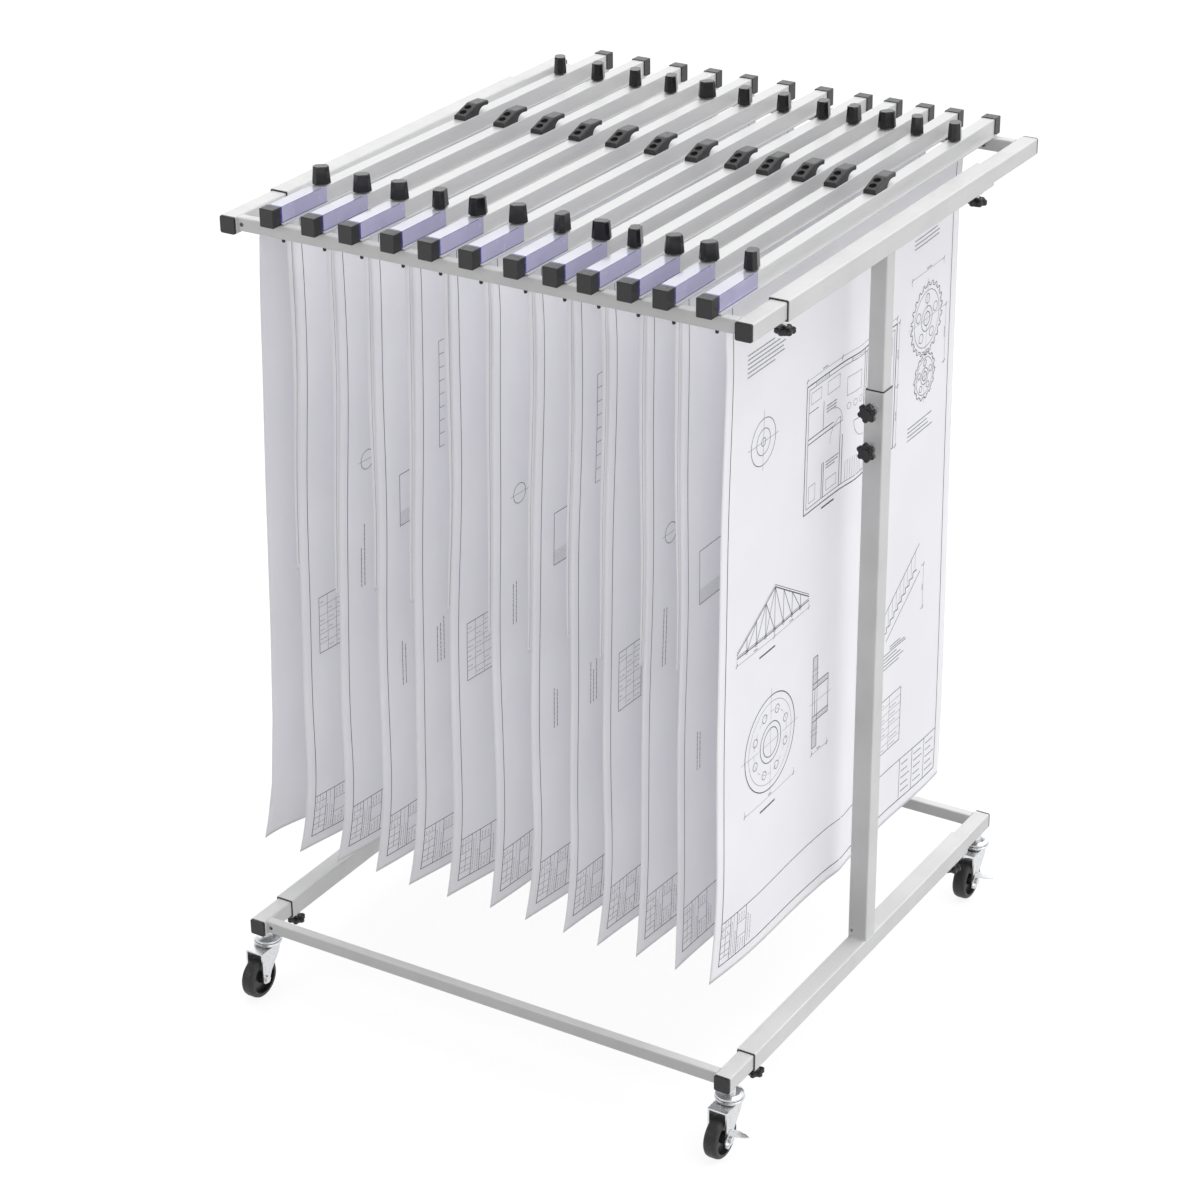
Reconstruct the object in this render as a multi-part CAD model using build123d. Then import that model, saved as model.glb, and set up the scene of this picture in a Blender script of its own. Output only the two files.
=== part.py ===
from build123d import *
import math
import os

# Mobile plan hanging rack: telescoping square-tube frame on castors, with
# lift-off clamps that carry large plan sheets.
# Millimetres, +Z up, front (label end) towards -Y, floor at Z = 0.

# ---------------------------------------------------------------- dimensions
SIDE_X = 405.0            # centre of the side tubes and posts
IN_TUBE = 25.0            # telescoping (inner) square tube
OUT_TUBE = 30.0           # sleeve (outer) square tube
WALL = 1.2
BAR_D, BAR_H = 15.0, 20.0  # rectangular cross tubes: depth (Y), height (Z)

Z_BASE = 117.0            # centre of the base side tubes
Z_TOP = 1233.0            # centre of the top side tubes
SLEEVE_TOP = 1018.0       # top of the post sleeve
POST_LOW = 640.0          # lower end of the inner post

BEAM_Y = (-358.0, 343.0)  # base side beam
BASE_END = 426.0          # end of the base inner tubes, front and rear
BASE_IN = 215.0           # inner end of the base inner tubes
BASE_BAR = 414.5          # centre of the base cross tube

RAIL_Y = {"left": (-271.0, 347.0), "right": (-298.0, 320.0)}  # top side rails
TOP_F_END, TOP_F_IN, TOP_F_BAR = -388.5, -160.0, -378.5
TOP_R_END, TOP_R_IN, TOP_R_BAR = 472.0, 195.0, 449.0

CAP_T, CAP_PLUG = 4.0, 12.0
STEM_Y = 405.0            # castor stem, front and rear
KNOB_BASE_Y = (-332.0, 318.0)
KNOB_TOP = {"left": (-253.0, 325.0), "right": (-280.0, 298.0)}
KNOB_POST_Z = (993.0, 934.0)

WHEEL_R, WHEEL_W = 32.5, 22.0
TRAIL = 28.0

CLAMP_X = [-322.5, -254.0, -190.0, -125.0, -63.5, 1.0,
           68.5, 131.5, 182.5, 239.0, 289.5, 351.0]
CLAMP_YAW = [-0.85, -0.75, -1.1, -0.65, -0.8, -0.8,
             -0.45, -0.85, -0.7, -0.2, 0.15, 0.45]   # clamps lie a little askew
CL_F, CL_R = -403.0, 470.0      # clamp ends
CL_W, CL_H = 20.0, 24.0         # clamp bar section
LEDGE = 5.0                     # bottom flange of the bar, right side
CL_CAP_W, CL_CAP_H, CL_CAP_D = 23.0, 26.5, 18.0
CL_KNOB_F, CL_KNOB_R = -276.0, 335.0
HANDLE_Y = 62.0
KNOB_TURN_F = [40, 42, 37, 104, 62, 35, 88, 15, 108, 38, 47, 105]
KNOB_TURN_R = [122, 112, 119, 112, 42, 104, 104, 106, 97, 52, 116, 109]

SHEET_W, SHEET_L, SHEET_T = 720.0, 1035.0, 2.0
SHEET_Y = 10.0
SHEET_TOP = 1260.0

# shift from the post-centred layout to the middle of the rack's footprint
ORIGIN_X, ORIGIN_Y = 11.75, 5.25

# ---------------------------------------------------------------- helpers
PARTS = {}


def bx(x0, x1, y0, y1, z0, z1):
    return Pos((x0 + x1) / 2, (y0 + y1) / 2, (z0 + z1) / 2) * Box(abs(x1 - x0), abs(y1 - y0), abs(z1 - z0))


def rod(x, y, z0, z1, r):
    return Pos(x, y, (z0 + z1) / 2) * Cylinder(r, abs(z1 - z0))


def rod_y(x, z, y0, y1, r):
    return Pos(x, (y0 + y1) / 2, z) * Rot(90, 0, 0) * Cylinder(r, abs(y1 - y0))


def rod_x(y, z, x0, x1, r):
    return Pos((x0 + x1) / 2, y, z) * Rot(0, 90, 0) * Cylinder(r, abs(x1 - x0))


def tube_z(w, d, length, r=2.2):
    outer = RectangleRounded(w, d, r)
    inner = RectangleRounded(w - 2 * WALL, d - 2 * WALL, r - WALL + 0.1)
    return extrude(outer - inner, amount=length)


def tube(axis, w, d, a, b, c1, c2):
    """Hollow tube from a to b along an axis; c1, c2 locate its centre line."""
    t = tube_z(w, d, b - a)
    if axis == "Z":
        return Pos(c1, c2, a) * t
    if axis == "Y":
        return Pos(c1, a, c2) * Rot(-90, 0, 0) * t
    return Pos(a, c1, c2) * Rot(0, 90, 0) * t


def end_cap(x, y_end, z, sgn):
    """Square plug with a flange on the open end of an inner tube (sgn = way out)."""
    flange = extrude(RectangleRounded(IN_TUBE, IN_TUBE, 3.2), amount=CAP_T)
    flange = chamfer(flange.faces().sort_by(Axis.Z)[-1].edges(), 0.8)
    w = IN_TUBE - 2 * WALL - 0.2
    plug = Pos(0, 0, -CAP_PLUG) * extrude(RectangleRounded(w, w, 1.5), amount=CAP_PLUG)
    plug = plug - Pos(0, 0, -CAP_PLUG) * Box(w - 3.6, w - 3.6, 2 * CAP_PLUG - 3)
    cap = flange + plug
    return Pos(x, y_end, z) * Rot(90 if sgn < 0 else -90, 0, 0) * cap


def put(name, items):
    items = items if isinstance(items, list) else [items]
    solids = []
    for it in items:
        solids += list(it.solids())
    PARTS.setdefault(name, []).extend(solids)


# ---------------------------------------------------------------- lower frame
HOLE = 3.3
for side, sx in (("left", -1), ("right", 1)):
    x = sx * SIDE_X
    beam = tube("Y", OUT_TUBE, OUT_TUBE, BEAM_Y[0], BEAM_Y[1], x, Z_BASE)
    for y in KNOB_BASE_Y:
        beam = beam - rod(x, y, Z_BASE - OUT_TUBE / 2 - 1, Z_BASE - OUT_TUBE / 2 + WALL + 0.5, HOLE)
    foot = Z_BASE + OUT_TUBE / 2
    sleeve = tube("Z", OUT_TUBE, OUT_TUBE, foot, SLEEVE_TOP, x, 0)
    for z in KNOB_POST_Z:
        sleeve = sleeve - rod_y(x, z, -OUT_TUBE / 2 - 1, -OUT_TUBE / 2 + WALL + 0.5, HOLE)
    sleeve = sleeve - rod_y(x - 9.3, foot + 12, -OUT_TUBE / 2 - 1, -OUT_TUBE / 2 + WALL + 0.5, 2.6)
    put("lower_frame_" + side, [beam, sleeve])


# ---------------------------------------------------------------- base U frames
def castor_stem(x, y):
    """Kingpin with the fixed upper race; the fork turns below it."""
    prof = Polyline((0, 72.8), (7.5, 72.8), (8.0, 73.8), (7.0, 77.1), (5.0, 77.1), (5.0, 86.6),
                    (20.4, 86.6), (21.2, 88.2), (20.6, 90.4), (15.5, 92.6), (10.5, 93.2), (5.0, 93.2),
                    (5.0, 116.0), (0, 116.0), close=True)
    pin = revolve(Plane.XZ * make_face(prof), axis=Axis.Z)
    nut = extrude(RegularPolygon(9.8, 6), amount=11.1) - Cylinder(5.2, 60)
    nut = Pos(0, 0, 93.3) * nut
    nut_in = Pos(0, 0, 105.8) * (extrude(RegularPolygon(9.8, 6), amount=7.0) - Cylinder(5.2, 60))
    return [Pos(x, y, 0) * pin, Pos(x, y, 0) * nut, Pos(x, y, 0) * nut_in]


for end, sy in (("front", -1), ("rear", 1)):
    pieces = []
    zt = Z_BASE + IN_TUBE / 2
    bar = tube("X", BAR_H, BAR_D, -SIDE_X + IN_TUBE / 2, SIDE_X - IN_TUBE / 2, sy * BASE_BAR, zt - BAR_H / 2)
    hx = sy * (SIDE_X - IN_TUBE / 2 - 8)
    y_out = sy * (BASE_BAR + BAR_D / 2)
    bar = bar - rod_y(hx, zt - BAR_H / 2, y_out - 2.0, y_out + 2.0, 3.1)
    pieces.append(bar)
    caps = []
    for sx in (-1, 1):
        x = sx * SIDE_X
        a, b = sorted((sy * BASE_END, sy * BASE_IN))
        t = tube("Y", IN_TUBE, IN_TUBE, a, b, x, Z_BASE)
        t = t - rod(x, sy * STEM_Y, Z_BASE - 14, Z_BASE - 10, 5.3)
        pieces.append(t)
        pieces += castor_stem(x, sy * STEM_Y)
        caps.append(end_cap(x, sy * BASE_END, Z_BASE, sy))
    put("base_%s_frame" % end, pieces)
    put("base_%s_end_caps" % end, caps)

# ---------------------------------------------------------------- upper frame
for side, sx in (("left", -1), ("right", 1)):
    x = sx * SIDE_X
    rail = tube("Y", OUT_TUBE, OUT_TUBE, RAIL_Y[side][0], RAIL_Y[side][1], x, Z_TOP)
    for y in KNOB_TOP[side]:
        rail = rail - rod(x, y, Z_TOP - OUT_TUBE / 2 - 1, Z_TOP - OUT_TUBE / 2 + WALL + 0.5, HOLE)
    post = tube("Z", IN_TUBE, IN_TUBE, POST_LOW, Z_TOP - OUT_TUBE / 2, x, 0)
    put("upper_frame_" + side, [post, rail])

for end, sy, y_end, y_in, y_bar in (("front", -1, TOP_F_END, TOP_F_IN, TOP_F_BAR),
                                    ("rear", 1, TOP_R_END, TOP_R_IN, TOP_R_BAR)):
    zt = Z_TOP + IN_TUBE / 2
    bar = tube("X", BAR_H, BAR_D, -SIDE_X + IN_TUBE / 2, SIDE_X - IN_TUBE / 2, y_bar, zt - BAR_H / 2)
    hx = sy * (SIDE_X - IN_TUBE / 2 - 8)
    y_out = y_bar + sy * BAR_D / 2
    bar = bar - rod_y(hx, zt - BAR_H / 2, y_out - 2.0, y_out + 2.0, 3.1)
    pieces, caps = [bar], []
    for sx in (-1, 1):
        x = sx * SIDE_X
        a, b = sorted((y_end, y_in))
        pieces.append(tube("Y", IN_TUBE, IN_TUBE, a, b, x, Z_TOP))
        caps.append(end_cap(x, y_end, Z_TOP, sy))
    put("top_%s_frame" % end, pieces)
    put("top_%s_end_caps" % end, caps)

# ---------------------------------------------------------------- star knobs and weld nuts
NUT_T = 7.0
weld_nut = extrude(RegularPolygon(8.0, 6), amount=NUT_T) - Cylinder(3.1, 60)
weld_nut = weld_nut - Pos(0, 0, NUT_T) * Cone(3.1, 5.0, 3.0)

star = Circle(11.2)
for k in range(6):
    star += Pos(10.3 * math.cos(math.radians(60 * k)), 10.3 * math.sin(math.radians(60 * k))) * Circle(4.1)
star_in = Circle(9.9)
for k in range(6):
    star_in += Pos(9.9 * math.cos(math.radians(60 * k)), 9.9 * math.sin(math.radians(60 * k))) * Circle(3.1)
head = Pos(0, 0, 16.2) * extrude(star, amount=5.6)
head += Pos(0, 0, 15.0) * extrude(star_in, amount=1.2)
head += Pos(0, 0, 21.8) * extrude(star_in, amount=1.4)
head += Pos(0, 0, 23.2) * Cylinder(7.0, 1.6, align=(Align.CENTER, Align.CENTER, Align.MIN))
head += Pos(0, 0, 12.0) * Cone(5.6, 7.2, 3.0, align=(Align.CENTER, Align.CENTER, Align.MIN))
stud = Pos(0, 0, -2.2) * Cylinder(3.0, 14.2, align=(Align.CENTER, Align.CENTER, Align.MIN))

lower_nuts, upper_nuts = [], []


def knob_at(name, loc, turn, nuts):
    put(name, [loc * Rot(0, 0, turn) * head, loc * stud])
    nuts.append(loc * weld_nut)


zb = Z_BASE - OUT_TUBE / 2
zr = Z_TOP - OUT_TUBE / 2
for side, sx in (("left", -1), ("right", 1)):
    x = sx * SIDE_X
    for i, (lv, z) in enumerate(zip(("upper", "lower"), KNOB_POST_Z)):
        knob_at("post_knob_%s_%s" % (side, lv), Pos(x, -OUT_TUBE / 2, z) * Rot(90, 0, 0), 11 + 19 * i + 7 * sx, lower_nuts)
    for i, (end, y) in enumerate((("front", KNOB_BASE_Y[0]), ("rear", KNOB_BASE_Y[1]))):
        knob_at("base_knob_%s_%s" % (end, side), Pos(x, y, zb) * Rot(180, 0, 0), 8 + 23 * i + 9 * sx, lower_nuts)
    for i, (end, y) in enumerate(zip(("front", "rear"), KNOB_TOP[side])):
        knob_at("top_knob_%s_%s" % (end, side), Pos(x, y, zr) * Rot(180, 0, 0), 25 + 17 * i + 6 * sx, upper_nuts)
put("lower_weld_nuts", lower_nuts)
put("upper_weld_nuts", upper_nuts)

# ---------------------------------------------------------------- castors
FORK_IN, FORK_OUT = 13.0, 15.5
plate = Pos(0, 0, 77.5) * extrude(make_face(Polyline(
    (-FORK_OUT, -36.0), (FORK_OUT, -36.0), (FORK_OUT, 9.0), (9.5, 17.0), (-9.5, 17.0), (-FORK_OUT, 9.0), close=True)), amount=2.5)
plate = plate - rod(0, 0, 76, 82, 5.08)
leg_pts = [(-36.0, 79.0), (-36.0, 31.5), (-35.0, 28.4), (-32.6, 25.9), (-29.2, 24.6), (-25.9, 24.9), (-23.0, 26.5),
           (-20.6, 29.6), (-15.2, 41.0), (-6.5, 52.5), (2.0, 61.0), (7.0, 69.5), (9.0, 79.0)]
leg = extrude(Plane.YZ * make_face(Polyline(*leg_pts, close=True)), amount=FORK_OUT - FORK_IN)
fork = plate + Pos(FORK_IN, 0, 0) * leg + Pos(-FORK_OUT, 0, 0) * leg
fork = fork - rod_x(-TRAIL, WHEEL_R, -20, 20, 4.05)
race_prof = Polyline((5.08, 80.0), (17.0, 80.0), (21.4, 82.2), (22.0, 84.2), (21.2, 86.2), (5.08, 86.2), close=True)
race = revolve(Plane.XZ * make_face(race_prof), axis=Axis.Z)

tyre_prof = Polyline((24.6, -3.0), (24.6, -WHEEL_W / 2 + 0.4), (26.5, -WHEEL_W / 2), (29.5, -WHEEL_W / 2 + 0.6),
                     (31.6, -WHEEL_W / 2 + 2.6), (WHEEL_R, -WHEEL_W / 2 + 6.0), (WHEEL_R, WHEEL_W / 2 - 6.0),
                     (31.6, WHEEL_W / 2 - 2.6), (29.5, WHEEL_W / 2 - 0.6), (26.5, WHEEL_W / 2), (24.6, WHEEL_W / 2 - 0.4),
                     (24.6, 3.0), close=True)
tyre = revolve(Plane.XZ * make_face(tyre_prof), axis=Axis.Z)
hub_prof = Polyline((4.06, -12.2), (8.5, -12.2), (9.2, -4.0), (24.5, -2.9), (24.5, 2.9), (9.2, 4.0), (8.5, 12.2), (4.06, 12.2), close=True)
hub = revolve(Plane.XZ * make_face(hub_prof), axis=Axis.Z)


def axle(x_far):
    a = rod_x(-TRAIL, WHEEL_R, -16.0, x_far + 0.4, 4.0)
    a += rod_x(-TRAIL, WHEEL_R, -18.6, -15.6, 5.6)
    a += rod_x(-TRAIL, WHEEL_R, x_far + 0.1, x_far + 2.8, 5.6)
    return a


# side brake: a plate on the axle with a pointed tab standing out sideways
bp = make_face(Polyline((-40.5, 25.0), (-34.0, 21.5), (-24.0, 21.5), (-17.0, 26.0), (-14.5, 34.0), (-16.5, 43.0),
                        (-24.0, 46.5), (-34.0, 45.5), (-40.0, 39.0), (-42.0, 31.5), close=True))
brake = Pos(FORK_OUT + 0.35, 0, 0) * extrude(Plane.YZ * bp, amount=1.8)
brake += Pos(0, 0, 42.6) * extrude(make_face(Polyline((FORK_OUT + 0.35, -33.0), (FORK_OUT + 14.0, -31.6), (FORK_OUT + 24.0, -28.2),
                                                      (FORK_OUT + 30.0, -24.0), (FORK_OUT + 22.0, -20.2), (FORK_OUT + 12.0, -18.4),
                                                      (FORK_OUT + 0.35, -18.4), close=True)), amount=1.8)
brake += Pos(FORK_OUT + 0.35, 0, 0) * extrude(Plane.YZ * make_face(Polyline((-42.0, 31.5), (-40.5, 25.0), (-36.6, 26.0), (-38.0, 33.0), close=True)), amount=5.5)
brake = brake - rod_x(-TRAIL, WHEEL_R, FORK_OUT - 1, FORK_OUT + 3.2, 4.06)

for end, sy in (("front", -1), ("rear", 1)):
    for side, sx in (("left", -1), ("right", 1)):
        loc = Pos(sx * SIDE_X, sy * STEM_Y, 0)
        key = "%s_%s" % (end, side)
        braked = side == "right"
        put("castor_fork_" + key, [loc * fork, loc * race, loc * axle(FORK_OUT + (2.3 if braked else 0.0))])
        wloc = loc * Pos(0, -TRAIL, WHEEL_R) * Rot(0, 90, 0)
        put("castor_wheel_" + key, [wloc * tyre, wloc * hub])
        if braked:
            put("castor_brake_" + key, [loc * brake])

# ---------------------------------------------------------------- clamps
Z_CAP = Z_TOP + IN_TUBE / 2 + 0.05     # underside of the clamp ends, on the rails
ZB = Z_CAP + (CL_CAP_H - CL_H) / 2     # underside of the clamp bar
ZT = ZB + CL_H
W2 = CL_W / 2
T = 1.6
y0, y1 = CL_F + 3.0, CL_R - 3.0
section = make_face(Polyline((-W2, ZB), (-3.6, ZB), (-3.6, ZB + T), (-W2 + T, ZB + T), (-W2 + T, ZT - T), (W2 - T, ZT - T),
                             (W2 - T, ZB + T), (2.6, ZB + T), (2.6, ZB + 12.0), (1.0, ZB + 12.0), (1.0, ZB),
                             (W2, ZB), (W2, ZT), (-W2, ZT), close=True))
corners = [v for v in section.vertices() if abs(abs(v.X) - W2) < 1e-6 and (v.Y > ZT - 1e-6 or (v.Y < ZB + 1e-6 and v.X < 0))]
section = fillet(corners, 0.8)
bar = Pos(0, y1, 0) * extrude(Plane.XZ * section, amount=y1 - y0)
bar += bx(W2 - 0.4, W2 + LEDGE, CL_F + CL_CAP_D + 0.3, CL_R - CL_CAP_D - 0.3, ZB, ZB + T)
jaw = bx(-7.6, -1.0, CL_F + 22, CL_R - 22, ZB + T + 0.3, ZB + 11.5) + bx(-7.6, -6.3, CL_F + 22, CL_R - 22, ZB + 11.5, ZB + 19.5)
CAM_R, CAM_OFF = 5.0, -1.1

caps = []
for sgn, ye in ((-1, CL_F), (1, CL_R)):
    c = extrude(RectangleRounded(CL_CAP_W, CL_CAP_H, 1.2), amount=CL_CAP_D)
    c = chamfer(c.faces().sort_by(Axis.Z)[0].edges(), 0.7)
    c = c - Pos(0, 0, 3.0) * extrude(Rectangle(CL_W + 0.2, CL_H + 0.2), amount=CL_CAP_D)
    caps.append(Pos(0, ye, Z_CAP + CL_CAP_H / 2) * Rot(-90 if sgn < 0 else 90, 0, 0) * c)

pins = []
PIN_F = TOP_F_BAR + BAR_D / 2 + 3.5
PIN_R = TOP_R_BAR - BAR_D / 2 - 3.5
for yp, drop in ((PIN_F, 33.0), (PIN_R, 15.0)):
    p = rod(0, yp, ZB - drop, ZB, 2.5) + rod(0, yp, ZB - 0.9, ZB, 4.2)
    pins.append(chamfer(p.faces().sort_by(Axis.Z)[0].edges(), 1.3))

# lift handle: screwed foot with a sloping front and a hook open to the rear
hp = [(0, 0), (0, 6.0), (1.2, 6.9), (31.5, 16.6), (34.0, 17.0), (60.0, 16.2), (61.5, 14.6), (61.8, 10.4), (60.6, 9.2),
      (53.0, 10.2), (46.5, 10.0), (41.0, 8.0), (37.6, 4.6), (36.0, 0)]
handle = extrude(Plane.YZ * make_face(Polyline(*hp, close=True)), amount=9.6, both=True)
rim = [e for e in handle.edges() if abs(abs(e.center().X) - 9.6) < 0.01 and e.center().Z > 11.0 and 5.0 < e.center().Y < 60.0]
handle = chamfer(rim, 1.4)
slope = math.degrees(math.atan2(16.6 - 6.9, 31.5 - 1.2))
screws = []
SCREW_Y = (9.5, 22.5)
for sy_ in SCREW_Y:
    zs = 6.9 + (sy_ - 1.2) * math.tan(math.radians(slope))
    handle = handle - rod(0, sy_, zs - 4.5, zs + 8, 5.4) - rod(0, sy_, -1, 20, 2.1)
    sc = rod(0, sy_, zs - 4.4, zs - 2.4, 4.6) + rod(0, sy_, -T - 2.0, zs - 4.4, 1.9)
    sc = sc - Pos(0, 0, zs - 2.4) * bx(-3.0, 3.0, sy_ - 0.5, sy_ + 0.5, -1.0, 0.5) - Pos(0, 0, zs - 2.4) * bx(-0.5, 0.5, sy_ - 3.0, sy_ + 3.0, -1.0, 0.5)
    screws.append(Pos(0, HANDLE_Y, ZT) * sc)
    bar = bar - rod(0, HANDLE_Y + sy_, ZT - T - 1, ZT + 1, 2.1)
handle = Pos(0, HANDLE_Y, ZT) * handle
for yk in (CL_KNOB_F, CL_KNOB_R):
    bar = bar - rod(0, yk, ZT - T - 1, ZT + 1, 4.2)

# label sleeve: clear film over the top and the right side near the front end
label = bx(W2 + 0.05, W2 + 0.65, CL_F + CL_CAP_D + 0.3, -279.0, ZB + T + 0.15, ZT + 0.6)
label += bx(-W2, W2 + 0.65, CL_F + CL_CAP_D + 0.3, -290.0, ZT + 0.05, ZT + 0.6)

# cam knob: eight-sided tapered grip, shaft and eccentric cam that moves the jaw
def octagon(a, b, z):
    c = 0.56 * b
    pts = [(a, b - c), (a - c, b), (c - a, b), (-a, b - c), (-a, c - b), (c - a, -b), (a - c, -b), (a, c - b)]
    return Pos(0, 0, z) * make_face(Polyline(*pts, close=True))


grip = loft([octagon(12.2, 8.8, 2.2), octagon(12.9, 9.4, 3.2)], ruled=True)
grip += loft([octagon(12.9, 9.4, 3.2), octagon(11.1, 8.1, 26.0)], ruled=True)
grip += loft([octagon(11.1, 8.1, 26.0), octagon(10.3, 7.3, 27.0)], ruled=True)
shaft = rod(0, 0, -T - 8.6, 2.2, 4.0)
cam = rod(CAM_OFF, 0, -T - 8.6, -T - 0.4, CAM_R)

for i, x in enumerate(CLAMP_X):
    solids = [bar, jaw] + caps + pins + [handle] + screws + [label]
    for yk, turn in ((CL_KNOB_F, KNOB_TURN_F[i]), (CL_KNOB_R, KNOB_TURN_R[i])):
        knob = Rot(0, 0, turn) * grip + shaft + cam
        solids.append(Pos(0, yk, ZT) * knob)
    at = Pos(x, 0, 0) * Rot(0, 0, CLAMP_YAW[i])
    put("clamp_%02d" % (i + 1), [at * s for s in solids])
    sheet = bx(-SHEET_T / 2, SHEET_T / 2, SHEET_Y - SHEET_W / 2, SHEET_Y + SHEET_W / 2, SHEET_TOP - SHEET_L, SHEET_TOP)
    put("plan_sheet_%02d" % (i + 1), at * sheet)

# ---------------------------------------------------------------- output
os.makedirs("parts", exist_ok=True)
lo = [1e9] * 3
hi = [-1e9] * 3
for name, solids in PARTS.items():
    group = [Pos(-ORIGIN_X, -ORIGIN_Y, 0) * s for s in solids]
    shape = Compound(children=group) if len(group) > 1 else group[0]
    bb = Compound(children=[Pos(-ORIGIN_X, -ORIGIN_Y, 0) * s for s in solids]).bounding_box()
    for k, (a, b) in enumerate(((bb.min.X, bb.max.X), (bb.min.Y, bb.max.Y), (bb.min.Z, bb.max.Z))):
        lo[k] = min(lo[k], a)
        hi[k] = max(hi[k], b)
    export_step(shape, "parts/%s.step" % name)
print(len(PARTS), "nodes; box", [round(v, 3) for v in lo], [round(v, 3) for v in hi])
print("centre", [round((a + b) / 2, 3) for a, b in zip(lo, hi)])
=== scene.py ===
import math
import random

import bpy
import numpy as np
from mathutils import Matrix, Vector


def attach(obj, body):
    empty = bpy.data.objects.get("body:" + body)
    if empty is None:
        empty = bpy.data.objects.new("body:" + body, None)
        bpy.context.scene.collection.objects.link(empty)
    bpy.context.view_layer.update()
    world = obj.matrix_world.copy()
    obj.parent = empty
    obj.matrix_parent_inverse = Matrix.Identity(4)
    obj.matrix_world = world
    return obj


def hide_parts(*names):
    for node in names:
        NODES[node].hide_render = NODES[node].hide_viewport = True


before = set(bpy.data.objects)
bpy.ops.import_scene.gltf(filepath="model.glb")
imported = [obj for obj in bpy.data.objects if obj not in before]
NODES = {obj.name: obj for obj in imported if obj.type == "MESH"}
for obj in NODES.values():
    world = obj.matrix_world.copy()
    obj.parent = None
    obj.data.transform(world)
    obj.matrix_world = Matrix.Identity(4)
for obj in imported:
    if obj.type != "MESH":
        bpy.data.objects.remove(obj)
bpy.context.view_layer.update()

# ---------------------------------------------------------------- shared sizes (mm, post-centred layout)
OX, OY = 11.75, 5.25
SIDE_X = 405.0
IN_TUBE, OUT_TUBE = 25.0, 30.0
BAR_D, BAR_H = 15.0, 20.0
Z_BASE, Z_TOP, SLEEVE_TOP = 117.0, 1233.0, 1018.0
BEAM_Y = (-358.0, 343.0)
RAIL_Y = {"left": (-271.0, 347.0), "right": (-298.0, 320.0)}
KNOB_TOP = {"left": (-253.0, 325.0), "right": (-280.0, 298.0)}
BASE_BAR, TOP_F_BAR, TOP_R_BAR = 414.5, -378.5, 449.0
CLAMP_X = [-322.5, -254.0, -190.0, -125.0, -63.5, 1.0, 68.5, 131.5, 182.5, 239.0, 289.5, 351.0]
CLAMP_YAW = [-0.85, -0.75, -1.1, -0.65, -0.8, -0.8, -0.45, -0.85, -0.7, -0.2, 0.15, 0.45]
CL_F, CL_R, CAP_D = -403.0, 470.0, 18.0
CL_W, CL_H = 20.0, 24.0
Z_CAP = Z_TOP + 12.55
ZB = Z_CAP + 1.25
ZT = ZB + CL_H
W2 = CL_W / 2
LABEL_SIDE, LABEL_TOP = -279.0, -290.0
KNOB_F, KNOB_R, HANDLE_Y = -276.0, 335.0, 62.0
PIN_F, PIN_R = TOP_F_BAR + 11.0, TOP_R_BAR - 11.0
SHEET_Z = 225.0
SHEET_W, SHEET_L = 716.0, 1035.0
SHEET_F = -349.0


def pt(x, y, z):
    return ((x - OX) / 1000.0, (y - OY) / 1000.0, z / 1000.0)


def world_arr(P):
    P = np.asarray(P, float)
    return (P - np.array([OX, OY, 0.0])) / 1000.0


def clamp_to_post(i, P):
    """Points in a clamp's own layout (x across, y along it) to the rack's layout."""
    P = np.asarray(P, float)
    c, s = math.cos(math.radians(CLAMP_YAW[i])), math.sin(math.radians(CLAMP_YAW[i]))
    return np.stack([CLAMP_X[i] + P[..., 0] * c - P[..., 1] * s, P[..., 0] * s + P[..., 1] * c, P[..., 2]], -1)


def post_to_clamp(i, P):
    P = np.asarray(P, float)
    c, s = math.cos(math.radians(CLAMP_YAW[i])), math.sin(math.radians(CLAMP_YAW[i]))
    x, y = P[..., 0] - CLAMP_X[i], P[..., 1]
    return np.stack([x * c + y * s, -x * s + y * c, P[..., 2]], -1)


# ---------------------------------------------------------------- materials
def new_mat(name):
    m = bpy.data.materials.new(name)
    m.use_nodes = True
    nt = m.node_tree
    b = nt.nodes.get("Principled BSDF")
    return m, nt, b


def add(nt, kind, **vals):
    n = nt.nodes.new(kind)
    for k, v in vals.items():
        if k in n.inputs:
            n.inputs[k].default_value = v
        else:
            setattr(n, k, v)
    return n


def coords(nt, scale=(1, 1, 1)):
    tc = nt.nodes.new("ShaderNodeTexCoord")
    mp = nt.nodes.new("ShaderNodeMapping")
    mp.inputs["Scale"].default_value = scale
    nt.links.new(tc.outputs["Object"], mp.inputs["Vector"])
    return mp.outputs["Vector"]


def noise(nt, vec, scale, detail=2.0, rough=0.5):
    n = add(nt, "ShaderNodeTexNoise", Scale=scale, Detail=detail, Roughness=rough)
    nt.links.new(vec, n.inputs["Vector"])
    return n.outputs["Fac"]


def ramp(nt, fac, stops):
    r = nt.nodes.new("ShaderNodeValToRGB")
    els = r.color_ramp.elements
    while len(els) > 1:
        els.remove(els[-1])
    els[0].position, els[0].color = stops[0][0], (*stops[0][1], 1.0)
    for p, c in stops[1:]:
        e = els.new(p)
        e.color = (*c, 1.0)
    nt.links.new(fac, r.inputs["Fac"])
    return r.outputs["Color"]


def remap(nt, fac, lo, hi, a=0.3, b=0.7):
    r = nt.nodes.new("ShaderNodeMapRange")
    r.inputs["From Min"].default_value = a
    r.inputs["From Max"].default_value = b
    r.inputs["To Min"].default_value = lo
    r.inputs["To Max"].default_value = hi
    nt.links.new(fac, r.inputs["Value"])
    return r.outputs["Result"]


def bump(nt, height, strength, dist, normal=None):
    b = add(nt, "ShaderNodeBump", Strength=strength, Distance=dist)
    nt.links.new(height, b.inputs["Height"])
    if normal is not None:
        nt.links.new(normal, b.inputs["Normal"])
    return b.outputs["Normal"]


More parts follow.
